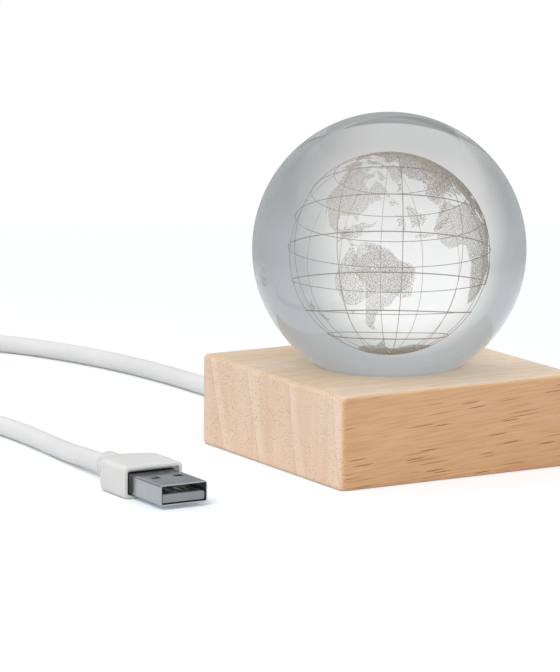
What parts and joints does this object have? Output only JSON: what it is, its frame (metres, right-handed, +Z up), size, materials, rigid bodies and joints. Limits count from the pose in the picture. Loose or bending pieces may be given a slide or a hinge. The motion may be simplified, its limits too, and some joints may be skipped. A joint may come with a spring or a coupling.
{
  "type": "crystal ball lamp",
  "caption": "Glass ball with a world globe engraved inside, resting in the seat of a square wooden base that lights it from below, with a white lead and a flat power plug.",
  "frame": {"origin": "on the floor, under the middle of the wooden base", "axes": "+Z up through the centre of the ball, +Y to the back of the base where the lead comes out, -Y to the front, X along the wood grain"},
  "size_m": [0.1373, 0.2216, 0.082],
  "materials": {
    "wood": "sanded rubberwood, pale, with fine brown pores",
    "glass": "clear polished glass, engraved inside",
    "frosted_acrylic": "frosted white acrylic",
    "white_pvc": "soft white cable jacket",
    "white_plastic": "fine moulded white plastic",
    "grey_plastic": "grey moulded insulator",
    "board_white": "white solder mask",
    "led_phosphor": "clear resin over phosphor",
    "resistor_black": "black ceramic chip",
    "red_wire": "red wire insulation",
    "black_wire": "black wire insulation",
    "nylon": "natural nylon",
    "black_plastic": "textured black plastic",
    "foam": "dense black foam",
    "zinc_steel": "zinc plated screw steel",
    "shell_steel": "nickel plated sheet steel",
    "gold": "gold plated contact strip",
    "strap": "white hook and loop strap"
  },
  "bodies": {
    "base": {"anti_slip_pad": "foam", "board_screw_1": "zinc_steel", "board_screw_2": "zinc_steel", "board_screw_3": "zinc_steel", "bottom_cover": "black_plastic", "cable_grommet": "white_pvc", "cable_tie": "nylon", "coil_tie": "strap", "cord_coil": "white_pvc", "cord_from_base": "white_pvc", "cord_inside": "white_pvc", "cord_to_plug": "white_pvc", "cover_screw_1": "zinc_steel", "cover_screw_2": "zinc_steel", "cover_screw_3": "zinc_steel", "cover_screw_4": "zinc_steel", "diffuser_disc": "frosted_acrylic", "lead_black": "black_wire", "lead_red": "red_wire", "led_board": "board_white", "led_chip_1": "led_phosphor", "led_chip_2": "led_phosphor", "led_chip_3": "led_phosphor", "led_chip_4": "led_phosphor", "led_chip_5": "led_phosphor", "led_resistor_1": "resistor_black", "led_resistor_2": "resistor_black", "reflector_ring": "white_plastic", "usb_contact_1": "gold", "usb_contact_2": "gold", "usb_contact_3": "gold", "usb_contact_4": "gold", "usb_overmould": "white_plastic", "usb_shell": "shell_steel", "usb_tongue": "grey_plastic", "wooden_base": "wood"},
    "ball": {"crystal_ball": "glass"}
  },
  "joints": [
    {"name": "ball_lift", "type": "slide", "parent": "base", "child": "ball", "axis": [0, 0, 1], "range_m": [0, 0.04]}
  ]
}
